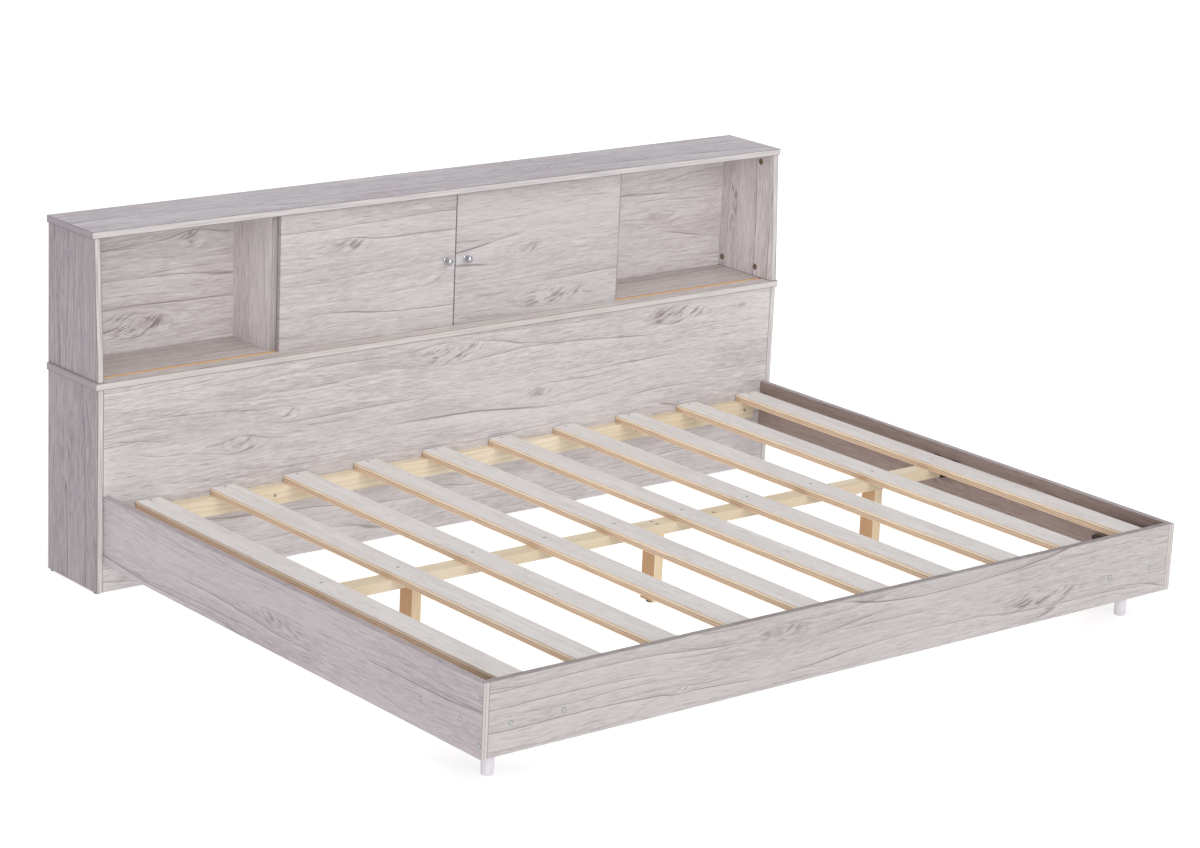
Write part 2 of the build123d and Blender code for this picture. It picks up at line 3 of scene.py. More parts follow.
import bmesh
import bpy
from mathutils import Matrix, Vector


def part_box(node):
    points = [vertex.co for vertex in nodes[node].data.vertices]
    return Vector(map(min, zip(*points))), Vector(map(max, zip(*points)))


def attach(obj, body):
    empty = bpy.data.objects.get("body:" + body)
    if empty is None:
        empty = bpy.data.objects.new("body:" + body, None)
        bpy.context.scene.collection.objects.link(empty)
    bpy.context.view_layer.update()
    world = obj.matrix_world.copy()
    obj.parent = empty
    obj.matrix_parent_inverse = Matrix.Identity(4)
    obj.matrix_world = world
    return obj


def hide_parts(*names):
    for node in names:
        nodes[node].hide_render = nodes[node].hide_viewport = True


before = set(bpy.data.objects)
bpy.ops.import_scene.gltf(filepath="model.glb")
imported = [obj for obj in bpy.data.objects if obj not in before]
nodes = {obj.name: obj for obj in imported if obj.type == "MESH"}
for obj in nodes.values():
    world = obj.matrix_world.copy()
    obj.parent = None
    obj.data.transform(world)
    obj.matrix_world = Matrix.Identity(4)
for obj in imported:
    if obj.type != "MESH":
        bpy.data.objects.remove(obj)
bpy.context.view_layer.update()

X, Y, Z = 0, 1, 2

# Camera that matches the photograph
camera_place = (-4.786278, -5.710694, 2.527685)
camera_yaw, camera_pitch, camera_roll = -0.692055791, -0.278473283, -0.0465264468
focal_in_pixels, photo_width, sensor_width = 3463.52, 1200, 36.0

# Faces of the model that several finishes need
door_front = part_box("door_left")[0].y
shelf_low, shelf_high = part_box("mid_board")
top_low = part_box("top_board")[0]
rail_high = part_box("side_rail_right")[1]

# Door grooves: half width, middle, lip that keeps its print, depth of the upper one
half_door = 0.006
groove_half = 0.0071
groove_middle = door_front + half_door
groove_lip = 0.0011
top_groove_depth = 0.0101

# How brightly the studio lights a face of each direction, with 1 for pure white
front_light, side_light, top_light, bay_light, bay_side_light = 1.23, 0.88, 1.03, 0.86, 0.62


def linear(red, green, blue, light=1.0):
    """Scene colour of a display colour given from 0 to 255, seen under that much light."""
    def part(value):
        value /= 255
        bright = value / 12.92 if value <= 0.04045 else ((value + 0.055) / 1.055) ** 2.4
        return bright / light
    return (part(red), part(green), part(blue), 1.0)


def tones(light_tone, dark_tone, line_tone, light):
    """Light, dark and line colour of a print, as they look under that much light."""
    return [linear(*tone, light) for tone in (light_tone, dark_tone, line_tone)]


class Graph:
    """Nodes of one material or node group, with short calls for the common ones."""

    def __init__(self, tree):
        self.tree = tree

    def feed(self, socket, value):
        if isinstance(value, bpy.types.NodeSocket):
            self.tree.links.new(value, socket)
        elif value is not None:
            socket.default_value = value

    def node(self, kind, *values, **settings):
        made = self.tree.nodes.new(kind)
        for key, value in settings.items():
            setattr(made, key, value)
        for socket, value in zip(made.inputs, values):
            self.feed(socket, value)
        return made

    def math(self, operation, *values):
        return self.node("ShaderNodeMath", *values, operation=operation).outputs[0]

    def add(self, a, b):
        return self.math("ADD", a, b)

    def sub(self, a, b):
        return self.math("SUBTRACT", a, b)

    def mul(self, a, b):
        return self.math("MULTIPLY", a, b)

    def near(self, value, place, half):
        """1 where value is within half of place."""
        return self.math("LESS_THAN", self.math("ABSOLUTE", self.sub(value, place)), half)

    def vector(self, x, y, z):
        return self.node("ShaderNodeCombineXYZ", x, y, z).outputs[0]

    def parts(self, vector):
        return self.node("ShaderNodeSeparateXYZ", vector).outputs[:3]

    def noise(self, vector, detail=2.0, rough=0.5):
        made = self.node("ShaderNodeTexNoise")
        self.feed(made.inputs["Vector"], vector)
        made.inputs["Scale"].default_value = 1.0
        made.inputs["Detail"].default_value = detail
        made.inputs["Roughness"].default_value = rough
        return made.outputs[0]

    def ramp(self, value, low, high, start=0.0, end=1.0):
        """Smooth step of value from low..high to start..end."""
        made = self.node("ShaderNodeMapRange", value, low, high, start, end,
                         interpolation_type="SMOOTHSTEP")
        return made.outputs[0]

    def mix(self, factor, a, b):
        """Colour a where factor is 0 and b where it is 1."""
        made = self.node("ShaderNodeMix", data_type="RGBA")
        self.feed(made.inputs[0], factor)
        self.feed(made.inputs[6], a)
        self.feed(made.inputs[7], b)
        return made.outputs[2]

    def bump(self, height, distance, strength=1.0):
        made = self.node("ShaderNodeBump")
        made.inputs["Strength"].default_value = strength
        made.inputs["Distance"].default_value = distance
        self.feed(made.inputs["Height"], height)
        return made.outputs[0]


def new_graph(name):
    """Empty material with its graph and shader."""
    material = bpy.data.materials.new(name)
    material.use_nodes = True
    graph = Graph(material.node_tree)
    shader = material.node_tree.nodes["Principled BSDF"]
    return material, graph, shader


def places(graph):
    """Object coordinates and the face direction, as two lists of three sockets."""
    source = graph.node("ShaderNodeTexCoord")
    return graph.parts(source.outputs["Object"]), graph.parts(source.outputs["Normal"])


def edge_distance(graph, spot, low, high):
    """Distance from the nearest edge of a box, for a point on its surface."""
    near = []
    for axis in (X, Y, Z):
        half = (high[axis] - low[axis]) / 2
        offset = graph.math("ABSOLUTE", graph.sub(spot[axis], low[axis] + half))
        near.append(graph.sub(half, offset))
    pair_a = graph.math("MAXIMUM", near[0], near[1])
    pair_b = graph.math("MAXIMUM", near[1], near[2])
    pair_c = graph.math("MAXIMUM", near[0], near[2])
    return graph.math("MINIMUM", pair_a, graph.math("MINIMUM", pair_b, pair_c))


def group_sockets(tree, inputs, outputs):
    """Give a node group its named number sockets."""
    for name in inputs:
        tree.interface.new_socket(name, in_out="INPUT", socket_type="NodeSocketFloat")
    for name in outputs:
        tree.interface.new_socket(name, in_out="OUTPUT", socket_type="NodeSocketFloat")


# Layers of the oak print: share of the tone, waves per metre along, across and through the
# grain, shift, detail and roughness
oak_layers = (
    (0.65, 1.2, 9.0, 4.0, 3.1, 2.0, 0.5),
    (0.75, 3.2, 42.0, 12.0, 11.7, 4.0, 0.7),
    (1.2, 9.0, 160.0, 60.0, 29.3, 3.0, 0.75),
    (1.7, 30.0, 420.0, 90.0, 61.9, 2.0, 0.7),
)
# Dark lines of the oak print: strength, lines per metre, waves per metre of their sway along
# and across, sway in lines, half width as a share of the spacing, waves per metre along and
# across of the mask that breaks them up, shift
oak_lines = (
    (1.0, 17.0, 0.6, 5.0, 5.0, 0.026, 1.5, 15.0, 47.9),
    (0.75, 43.0, 0.9, 9.0, 7.0, 0.045, 2.2, 26.0, 83.3),
)
# Tone of the bare print, how much the pale flecks add and how much each line shades its sides
oak_middle, pale_gain, line_shading = 0.52, 0.3, 0.22
mask_shift = 23.4


def make_print_group():
    """Washed oak print: tone, lines, pores and warmth from a place in the board."""
    tree = bpy.data.node_groups.new("washed_oak_print", "ShaderNodeTree")
    group_sockets(tree, ("along", "across", "through"), ("tone", "line", "pore", "warmth"))
    graph = Graph(tree)
    along, across, through = graph.node("NodeGroupInput").outputs[:3]

    def field(a, b, c, shift, detail, rough=0.5):
        """Noise with a, b and c waves per metre along, across and through the grain."""
        spot = graph.vector(graph.add(graph.mul(along, a), shift), graph.mul(across, b),
                            graph.mul(through, c))
        return graph.noise(spot, detail, rough)

    tone = oak_middle
    for share, a, b, c, shift, detail, rough in oak_layers:
        layer = graph.sub(field(a, b, c, shift, detail, rough), 0.5)
        tone = graph.add(graph.mul(layer, share), tone)
    pale = graph.ramp(field(15.0, 190.0, 70.0, 71.3, 1.0), 0.58, 0.74)
    tone = graph.add(tone, graph.mul(pale, pale_gain))

    line = None
    for share, count, a, b, sway, width, mask_a, mask_b, shift in oak_lines:
        bend = graph.mul(graph.sub(field(a, b, 3.0, shift, 2.0, 0.4), 0.5), sway)
        cycle = graph.math("FRACT", graph.add(graph.mul(across, count), bend))
        ridge = graph.math("ABSOLUTE", graph.sub(cycle, 0.5))
        mask = field(mask_a, mask_b, 9.0, shift + mask_shift, 2.0)
        shown = graph.mul(graph.ramp(mask, 0.47, 0.6), share)
        hair = graph.mul(graph.ramp(ridge, width * 0.35, width, 1.0, 0.0), shown)
        after = graph.mul(graph.ramp(cycle, 0.5, 0.85, 1.0, 0.0),
                          graph.math("GREATER_THAN", cycle, 0.5))
        before = graph.mul(graph.ramp(cycle, 0.15, 0.48), graph.math("LESS_THAN", cycle, 0.48))
        beside = graph.mul(graph.sub(before, after), shown)
        tone = graph.add(tone, graph.mul(beside, line_shading))
        line = hair if line is None else graph.math("MAXIMUM", line, hair)

    pore = graph.ramp(field(20.0, 260.0, 80.0, 5.7, 1.0), 0.6, 0.72)
    warmth = field(1.6, 9.0, 5.0, 93.1, 1.0)
    graph.node("NodeGroupOutput", tone, line, pore, warmth)
    return tree


print_group = make_print_group()


# How much darker than its own strength a knot's stroke gets at its middle
stroke_gain = 1.35


def knot_flow(graph, along, across, knots):
    """Bend the grain round each knot and draw its short slanting strokes."""
    strokes = None
    for start, level, reach, height, push, slant, strength in knots:
        u = graph.sub(along, start)
        v = graph.sub(across, level)
        far = graph.add(graph.math("POWER", graph.math("ABSOLUTE", graph.mul(u, 1 / reach)), 2.0),
                        graph.math("POWER", graph.math("ABSOLUTE", graph.mul(v, 1 / height)), 2.0))
        bell = graph.math("EXPONENT", graph.mul(far, -1.0))
        across = graph.sub(across, graph.mul(graph.mul(v, bell), push))
        if not strength:
            continue
        lean = graph.mul(graph.mul(u, slant), graph.add(1.0, graph.mul(v, 0.6 / height)))
        turned = graph.sub(v, lean)
        stroke = graph.noise(graph.vector(graph.mul(u, 18.0), graph.mul(turned, 200.0),
                                          start * 9.0), 2.0, 0.65)
        patch = graph.noise(graph.vector(graph.mul(u, 24.0), graph.mul(turned, 55.0),
                                         level * 7.0), 2.0)
        inside = graph.mul(graph.ramp(far, 0.15, 1.3, 1.0, 0.0), graph.ramp(patch, 0.38, 0.56))
        mark = graph.mul(graph.mul(graph.ramp(stroke, 0.5, 0.6), inside), strength * stroke_gain)
        strokes = mark if strokes is None else graph.math("MAXIMUM", strokes, mark)
    return across, strokes


# How strongly each part of the print shows in its darker or lighter colour
line_share, pore_share, warm_share, seam_share, wear_share = 0.68, 0.28, 0.35, 0.75, 0.35
# How far the grain wanders across, over long and over short stretches
long_sway, short_sway = 0.05, 0.005
# Seams of a banded edge: how far from its sides they start and are full, and half the width
# of the line between two bands
seam_start, seam_full, core_half = 0.0022, 0.0009, 0.0009
# Width of the worn edges, and depth of the relief of the three woods
wear_width = 0.0014
oak_relief, pine_relief, ply_relief = 0.00018, 0.00025, 0.0003


def worn_edges(graph, spot, colour, dark, box):
    """Colour with ragged darker wear along the edges of a box."""
    distance = edge_distance(graph, spot, *box)
    ragged = graph.noise(graph.vector(graph.mul(spot[X], 90.0), graph.mul(spot[Y], 90.0),
                                      graph.mul(spot[Z], 90.0)), 2.0)
    wear = graph.mul(graph.ramp(distance, 0.0, wear_width, 1.0, 0.0),
                     graph.ramp(ragged, 0.35, 0.75))
    return graph.mix(graph.mul(wear, wear_share), colour, dark)


def bare_groove(graph, spot, colour, heights):
    """Colour with raw board where the door groove cuts between two heights."""
    inside = graph.mul(graph.near(spot[Y], groove_middle, groove_half),
                       graph.near(spot[X], 0.0, rail_high.x))
    reach = graph.mul(graph.math("GREATER_THAN", spot[Z], heights[0]),
                      graph.math("LESS_THAN", spot[Z], heights[1]))
    fibre = graph.noise(graph.vector(graph.mul(spot[X], 160.0), graph.mul(spot[Y], 600.0),
                                     graph.mul(spot[Z], 600.0)), 3.0)
    raw = graph.mix(fibre, linear(204, 166, 118), linear(226, 192, 146))
    return graph.mix(graph.mul(inside, reach), colour, raw)


def laminate(name, axes, light, dark, deep, shift=(0.0, 0.0), knots=(), box=None,
             edge_axes=(), edge_colour=None, joint_axis=None, groove=None, contrast=1.0,
             cap=0.0, foot_seam=0.0, end_colour=None, inner=None, core_line=0.0):
    """Printed board. axes gives the model axes along, across and through the grain.

    edge_axes are the axes that the banded narrow faces look along, joint_axis the axis
    across the band's two dark seams, and groove the heights between which the door
    groove shows raw board. cap darkens the upper edge, and foot_seam paints a contact
    shadow on the lowest strip. end_colour is the banded faces' darker colour at the X
    ends, painted shade. inner gives the way and the tones of a face that looks inwards,
    a lighter or darker copy of the print that paints its light and shade, and core_line
    the line between two bands.
    """
    material, graph, shader = new_graph(name)
    spot, facing = places(graph)
    # Inward faces get their own lighter or darker copy of the print: painted light and shade.
    if inner is not None:
        inward_shading_mask = graph.ramp(graph.mul(facing[X], inner[0]), 0.5, 0.8)
        light, dark, deep = [graph.mix(inward_shading_mask, own, other)
                             for own, other in zip((light, dark, deep), inner[1])]
    along = graph.add(spot[axes[0]], shift[0])
    across = graph.add(spot[axes[1]], shift[1])
    wander = graph.noise(graph.vector(graph.mul(along, 1.4), graph.mul(across, 4.0), shift[0]), 2.0)
    across = graph.add(across, graph.mul(graph.sub(wander, 0.5), long_sway))
    wave = graph.noise(graph.vector(graph.mul(along, 7.0), graph.mul(across, 16.0), shift[0]), 1.0)
    across = graph.add(across, graph.mul(graph.sub(wave, 0.5), short_sway))
    moved = [(k[0] + shift[0], k[1] + shift[1]) + tuple(k[2:]) for k in knots]
    across, strokes = knot_flow(graph, along, across, moved)
    oak = graph.node("ShaderNodeGroup", node_tree=print_group)
    for socket, value in zip(oak.inputs, (along, across, spot[axes[2]])):
        graph.feed(socket, value)
    tone, line, pore, warmth = oak.outputs[:4]
    tone = graph.add(graph.mul(graph.sub(tone, 0.5), contrast), 0.5)
    colour = graph.mix(graph.ramp(tone, -0.05, 1.05), dark, light)
    colour = graph.mix(graph.mul(graph.ramp(warmth, 0.4, 0.7), warm_share), colour, light)
    colour = graph.mix(graph.mul(line, line_share), colour, deep)
    colour = graph.mix(graph.mul(pore, pore_share), colour, deep)
    height = graph.sub(graph.mul(tone, 0.5), line)
    if strokes is not None:
        colour = graph.mix(strokes, colour, deep)
        height = graph.sub(height, strokes)
    if edge_axes:
        facing_out = graph.math("ABSOLUTE", facing[edge_axes[0]])
        for axis in edge_axes[1:]:
            facing_out = graph.math("MAXIMUM", facing_out, graph.math("ABSOLUTE", facing[axis]))
        band_tone = graph.noise(graph.vector(graph.mul(spot[axes[0]], 9.0),
                                             graph.mul(spot[joint_axis], 300.0), shift[0]), 2.0)
        band_colour = graph.mix(graph.ramp(band_tone, 0.35, 0.75, 0.0, 0.6), edge_colour, dark)
        # Banded faces at the X ends get a darker colour: painted shade.
        if end_colour is not None:
            end = graph.ramp(graph.math("ABSOLUTE", facing[X]), 0.5, 0.8)
            end_tone = graph.mix(graph.mul(band_tone, 0.4), end_colour, deep)
            band_colour = graph.mix(end, band_colour, end_tone)
        colour = graph.mix(graph.ramp(facing_out, 0.8, 0.9), colour, band_colour)
        low, high = box
        half = (high[joint_axis] - low[joint_axis]) / 2
        off = graph.math("ABSOLUTE", graph.sub(spot[joint_axis], low[joint_axis] + half))
        seam = graph.ramp(off, half - seam_start, half - seam_full)
        if core_line:
            core = graph.near(spot[joint_axis], low[joint_axis] + half * 0.9, core_half)
            seam = graph.math("MAXIMUM", seam, graph.mul(core, core_line))
        seam = graph.mul(seam, graph.ramp(facing_out, 0.3, 0.6))
        colour = graph.mix(graph.mul(seam, seam_share), colour, deep)
    if cap:
        above = graph.ramp(facing[Z], 0.5, 0.8)
        colour = graph.mix(graph.mul(above, cap), colour, deep)
    # Dark strip along the board's foot, where it stands on another board: painted contact shadow.
    if foot_seam:
        foot_shadow_strip = graph.ramp(spot[Z], box[0].z + 0.0006, box[0].z + 0.0024, 1.0, 0.0)
        colour = graph.mix(graph.mul(foot_shadow_strip, foot_seam), colour, deep)
    if box is not None:
        colour = worn_edges(graph, spot, colour, dark, box)
    if groove is not None:
        colour = bare_groove(graph, spot, colour, groove)
    graph.feed(shader.inputs["Base Color"], colour)
    rough = graph.add(graph.mul(line, 0.12), graph.ramp(tone, 0.0, 1.0, 0.56, 0.44))
    graph.feed(shader.inputs["Roughness"], rough)
    shader.inputs["Specular IOR Level"].default_value = 0.35
    graph.feed(shader.inputs["Normal"], graph.bump(height, oak_relief, 0.6))
    return material


# Growth rings of the softwood
rings_per_metre = 170.0


def pine(name, axes, pale, tan, ring, shift=(0.0, 0.0), knots=(), side_shade_tone=None):
    """Planed softwood with growth lines and a few brown knots; side_shade_tone paints shade on its
    X faces.
    """
    material, graph, shader = new_graph(name)
    spot, facing = places(graph)
    along = graph.add(spot[axes[0]], shift[0])
    across = graph.add(spot[axes[1]], shift[1])
    through = graph.add(spot[axes[2]], shift[1])
    wander = graph.noise(graph.vector(graph.mul(along, 2.2), graph.mul(across, 9.0),
                                      graph.mul(through, 9.0)), 2.0)
    across = graph.add(across, graph.mul(graph.sub(wander, 0.5), 0.03))
    heart = None
    for start, level, reach in knots:
        u = graph.mul(graph.sub(along, start + shift[0]), 1 / reach)
        v = graph.mul(graph.sub(across, level + shift[1]), 1 / reach)
        far = graph.add(graph.mul(u, u), graph.mul(v, v))
        bell = graph.math("EXPONENT", graph.mul(far, -0.35))
        across = graph.sub(across, graph.mul(graph.mul(graph.mul(v, bell), reach), 0.8))
        spot_dark = graph.ramp(far, 0.15, 1.0, 1.0, 0.0)
        heart = spot_dark if heart is None else graph.math("MAXIMUM", heart, spot_dark)
    depth = graph.math("POWER", graph.add(graph.math("POWER", graph.add(across, 0.03), 2.0),
                                          graph.math("POWER", graph.add(through, 0.06), 2.0)), 0.5)
    cycle = graph.math("FRACT", graph.mul(depth, rings_per_metre))
    late = graph.ramp(cycle, 0.35, 0.95)
    late = graph.mul(late, graph.ramp(cycle, 0.95, 1.0, 1.0, 0.0))
    fibre = graph.noise(graph.vector(graph.mul(along, 14.0), graph.mul(across, 700.0),
                                     graph.mul(through, 700.0)), 3.0, 0.6)
    patch = graph.noise(graph.vector(graph.mul(along, 3.0), graph.mul(across, 14.0),
                                     graph.mul(through, 14.0)), 2.0)
    colour = graph.mix(graph.ramp(patch, 0.3, 0.7), pale, tan)
    colour = graph.mix(graph.mul(late, 0.3), colour, ring)
    colour = graph.mix(graph.mul(graph.ramp(fibre, 0.5, 0.75), 0.3), colour, ring)
    if heart is not None:
        colour = graph.mix(graph.mul(heart, 0.85), colour, linear(128, 78, 44))
    if side_shade_tone is not None:
        # X faces take a darker reddish tan: painted shade.
        turned = graph.ramp(graph.math("ABSOLUTE", facing[X]), 0.5, 0.8)
        colour = graph.mix(graph.mul(turned, 0.8), colour, graph.mix(fibre, side_shade_tone, ring))
    graph.feed(shader.inputs["Base Color"], colour)
    graph.feed(shader.inputs["Roughness"], graph.ramp(fibre, 0.3, 0.7, 0.55, 0.72))
    shader.inputs["Specular IOR Level"].default_value = 0.3
    height = graph.add(graph.mul(fibre, 0.6), graph.mul(late, 0.4))
    graph.feed(shader.inputs["Normal"], graph.bump(height, pine_relief, 0.7))
    return material


# Plies and glue lines of a slat's side: middle and half height as shares of its thickness,
# kind and strength
slat_plies = ((0.16, 0.14, "ply", 0.8), (0.30, 0.055, "glue", 0.55), (0.42, 0.06, "ply", 0.4),
              (0.53, 0.065, "glue", 0.7), (0.90, 0.05, "glue", 0.25))


def slat_ply(name, low, high, seed):
    """Slat: pale washed faces, tan sides with brown glue and cross plies."""
    material, graph, shader = new_graph(name)
    spot, facing = places(graph)
    across = graph.add(spot[X], seed)
    wander = graph.noise(graph.vector(graph.mul(across, 30.0), graph.mul(spot[Y], 2.5), seed), 2.0)
    sway = graph.mul(graph.sub(wander, 0.5), 0.012)
    streak = graph.noise(graph.vector(graph.mul(graph.add(across, sway), 190.0),
                                      graph.mul(spot[Y], 3.0), seed * 3.0), 3.0, 0.6)
    cloud = graph.noise(graph.vector(graph.mul(across, 22.0), graph.mul(spot[Y], 5.0), seed), 2.0)
    mottle = graph.noise(graph.vector(graph.mul(across, 260.0), graph.mul(spot[Y], 45.0), seed),
                         3.0, 0.7)
    face = graph.mix(graph.ramp(streak, 0.3, 0.7), linear(206, 201, 198, top_light),
                     linear(217, 213, 211, top_light))
    figure = graph.noise(graph.vector(graph.mul(across, 75.0), graph.mul(spot[Y], 19.0),
                                      seed * 5.0), 3.0, 0.7)
    for stain, low_end, high_end, share, stain_colour in (
            (mottle, 0.5, 0.75, 0.4, linear(190, 184, 180, top_light)),
            (figure, 0.5, 0.72, 0.5, linear(188, 180, 177, top_light)),
            (cloud, 0.45, 0.75, 0.4, linear(194, 190, 186, top_light))):
        stained = graph.mul(graph.ramp(stain, low_end, high_end), share)
        face = graph.mix(stained, face, stain_colour)
    crack = graph.ramp(graph.noise(graph.vector(graph.mul(graph.add(across, sway), 420.0),
                                                graph.mul(spot[Y], 9.0), seed), 2.0), 0.66, 0.74)
    face = graph.mix(graph.mul(crack, 0.35), face, linear(150, 140, 134))

    rise = graph.sub(spot[Z], low.z)
    ripple = graph.noise(graph.vector(graph.mul(spot[Y], 12.0), seed,
                                      graph.mul(spot[Z], 60.0)), 2.0)
    ripple = graph.mul(graph.sub(ripple, 0.5), 0.003)
    level = graph.mul(graph.add(rise, ripple), 1 / (high.z - low.z))
    grain = graph.noise(graph.vector(spot[X], graph.mul(spot[Y], 22.0),
                                     graph.mul(graph.add(rise, ripple), 1500.0)), 3.0, 0.6)
    cross = graph.noise(graph.vector(graph.mul(spot[X], 10.0), graph.mul(spot[Y], 180.0),
                                     graph.mul(rise, 300.0)), 2.0)
    slow = graph.noise(graph.vector(seed, graph.mul(spot[Y], 5.0), graph.mul(level, 3.0)), 2.0)
    side = graph.mix(graph.ramp(grain, 0.35, 0.7), linear(232, 215, 193, side_light),
                     linear(217, 194, 169, side_light))
    tan = graph.mix(cross, linear(190, 154, 121, side_light), linear(210, 179, 148, side_light))
    glue = linear(104, 62, 38, side_light)
    for middle, half, layer, share in slat_plies:
        off = graph.math("ABSOLUTE", graph.sub(level, middle))
        inside = graph.ramp(off, half * 0.7, half, 1.0, 0.0)
        side = graph.mix(graph.mul(inside, share), side, tan if layer == "ply" else
                         graph.mix(graph.ramp(slow, 0.3, 0.52, 0.35, 1.0), tan, glue))
    flat = graph.ramp(graph.math("ABSOLUTE", facing[Z]), 0.35, 0.6)
    graph.feed(shader.inputs["Base Color"], graph.mix(flat, side, face))
    graph.feed(shader.inputs["Roughness"], graph.ramp(streak, 0.3, 0.7, 0.6, 0.72))
    shader.inputs["Specular IOR Level"].default_value = 0.3
    height = graph.add(graph.mul(streak, flat), graph.mul(grain, graph.sub(1.0, flat)))
    graph.feed(shader.inputs["Normal"], graph.bump(height, ply_relief, 0.7))
    return material


def speckled(name, pale, dark, grain=900.0, rough=(0.6, 0.75), depth=0.0002, metal=0.0,
             specular=0.35, stretch=(1.0, 1.0, 1.0)):
    """Fine two-tone surface for board cores, plastics, paint and plain metal."""
    material, graph, shader = new_graph(name)
    spot = places(graph)[0]
    small = graph.noise(graph.vector(graph.mul(spot[X], grain * stretch[0]),
                                     graph.mul(spot[Y], grain * stretch[1]),
                                     graph.mul(spot[Z], grain * stretch[2])), 3.0, 0.6)
    coarse = grain * 0.04
    large = graph.noise(graph.vector(graph.mul(spot[X], coarse), graph.mul(spot[Y], coarse),
                                     graph.mul(spot[Z], coarse)), 2.0)
    blend = graph.add(graph.mul(graph.ramp(small, 0.3, 0.7), 0.65),
                      graph.mul(graph.ramp(large, 0.3, 0.7), 0.35))
    graph.feed(shader.inputs["Base Color"], graph.mix(blend, dark, pale))
    graph.feed(shader.inputs["Roughness"], graph.ramp(large, 0.25, 0.75, rough[0], rough[1]))
    shader.inputs["Metallic"].default_value = metal
    shader.inputs["Specular IOR Level"].default_value = specular
    graph.feed(shader.inputs["Normal"], graph.bump(small, depth, 0.6))
    return material


# Oak print of each group of boards, as it looks in the photograph
front_tones = tones((219, 214, 215), (182, 173, 173), (124, 108, 107), front_light)
right_door_tones = tones((213, 208, 209), (177, 168, 169), (120, 105, 104), front_light)
rail_front_tones = tones((200, 195, 194), (168, 159, 159), (116, 101, 100), front_light)
# Lighter copy of the print for the back panel inside the bays: painted light.
lit_back_tones = tones((204, 199, 199), (167, 158, 158), (112, 97, 96), bay_light)
top_tones = tones((197, 191, 196), (157, 149, 155), (106, 96, 102), top_light)
shelf_tones = tones((189, 182, 179), (157, 148, 145), (112, 100, 97), bay_light)
# Darker copy of the print for the sides of the case: painted shade.
shaded_side_tones = tones((159, 151, 155), (121, 112, 117), (80, 70, 75), side_light)
rail_side_tones = tones((181, 173, 176), (149, 139, 142), (106, 94, 97), side_light)
# Darker, browner copy of the print for the right rail's face that looks inwards: painted shade.
rail_inner_tones = tones((158, 140, 135), (130, 112, 106), (90, 73, 68), side_light)
# Lighter copy of the print for the faces at the sides of the bays: painted light.
lit_bay_side_tones = tones((196, 191, 192), (156, 149, 150), (104, 91, 91), bay_side_light)
band_colour = linear(214, 210, 208, front_light)
rail_band = linear(206, 199, 196, front_light)
# Darker colour for the banded X ends of the top and middle boards: painted shade.
shaded_end_band = linear(150, 142, 147, side_light)
# Dark colour for the dividers' front edges in the shade behind the doors: painted shade.
divider_edge_shade = linear(168, 160, 161, front_light)

# Knots: along, across, reach, height, push, slant, strength of the strokes
front_knots = (
    (-0.040, 0.437, 0.110, 0.030, 1.1, 0.34, 0.62),
    (-0.618, 0.292, 0.080, 0.026, 1.1, 0.34, 0.5),
    (-0.497, 0.345, 0.045, 0.014, 1.4, 0.5, 0.4),
    (0.250, 0.300, 0.060, 0.016, 1.2, 0.4, 0.4),
    (0.640, 0.430, 0.130, 0.030, 1.2, 0.3, 0.6),
)
left_door_knots = ((-0.318, 0.715, 0.075, 0.024, 1.2, 0.35, 0.5),
                   (-0.060, 0.600, 0.050, 0.016, 1.2, 0.4, 0.35))
right_door_knots = ((0.290, 0.525, 0.130, 0.026, 1.2, 0.3, 0.5),
                    (0.200, 0.650, 0.060, 0.016, 1.1, 0.4, 0.35))
back_knots = (
    (-0.614, 0.724, 0.055, 0.022, 1.3, 0.5, 0.5),
    (-0.784, 0.539, 0.110, 0.032, 1.1, 0.38, 0.62),
    (0.760, 0.640, 0.060, 0.020, 1.0, 0.4, 0.35),
)
front_rail_knots = (
    (-0.216, 0.190, 0.085, 0.018, 1.1, 0.35, 0.4),
    (-0.481, 0.110, 0.030, 0.010, 1.4, 0.4, 0.35),
    (0.560, 0.120, 0.130, 0.024, 1.1, 0.28, 0.6),
)
top_knots = (
    (0.310, 0.700, 0.080, 0.024, 1.0, 0.3, 0.45),
    (-0.560, 0.690, 0.060, 0.020, 1.3, 0.4, 0.5),
)
side_knots = ((0.340, 0.700, 0.080, 0.022, 1.0, 0.3, 0.45),)
upper_right_knots = ((0.650, 0.755, 0.090, 0.018, 1.1, 0.25, 0.7),)
rail_knots = ((-0.100, 0.140, 0.100, 0.022, 0.9, 0.35, 0.4),)

along_x_front = (X, Z, Y)
along_x_flat = (X, Y, Z)
along_y_upright = (Y, Z, X)
upright_side = (Z, Y, X)


def paint(name, material):
    """Give a CAD node one material in all of its slots."""
    mesh = nodes[name].data
    mesh.materials.clear()
    mesh.materials.append(material)


def board(node, axes, tones, **more):
    """Laminated CAD board with its own stretch of the print."""
    material = laminate("oak_" + node, axes, *tones, box=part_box(node), **more)
    paint(node, material)


